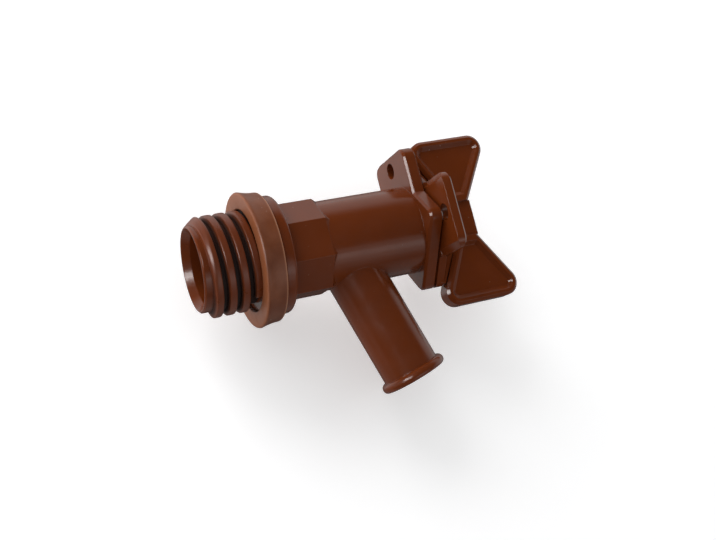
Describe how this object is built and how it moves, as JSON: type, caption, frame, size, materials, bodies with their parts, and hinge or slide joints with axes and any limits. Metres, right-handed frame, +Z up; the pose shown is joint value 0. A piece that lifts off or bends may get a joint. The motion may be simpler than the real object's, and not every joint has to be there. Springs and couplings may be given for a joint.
{
  "type": "rain barrel tap",
  "caption": "Moulded plastic rain barrel tap with a threaded inlet, sealing washer, slanted spout and a quarter-turn bow-tie handle with padlock ears.",
  "frame": {"origin": "centre of the washer's sealing face, on the inlet's axis", "axes": "+Y along the inlet's axis, out of the threaded end and into the water barrel; -Y towards the handle; +Z up, away from the spout; the grip is upright in the rest pose, which is open"},
  "size_m": [0.039, 0.0892, 0.066],
  "materials": {
    "body_plastic": "chocolate brown moulded plastic, satin to glossy",
    "handle_plastic": "chocolate brown moulded plastic, glossy",
    "washer_rubber": "brown rubber, matt",
    "seal_rubber": "black rubber, greased"
  },
  "bodies": {
    "tap_body": {"valve_body": "body_plastic", "inlet_thread": "body_plastic", "sealing_washer": "washer_rubber"},
    "turning_handle": {"handle": "handle_plastic", "plug_ring_back": "seal_rubber", "plug_ring_front": "seal_rubber", "port_seal": "seal_rubber"}
  },
  "joints": [
    {"name": "handle_turn", "type": "hinge", "parent": "tap_body", "child": "turning_handle", "pos_m": [0, -0.0507, 0], "axis": [0, 1, 0], "range_deg": [0, 90]}
  ]
}
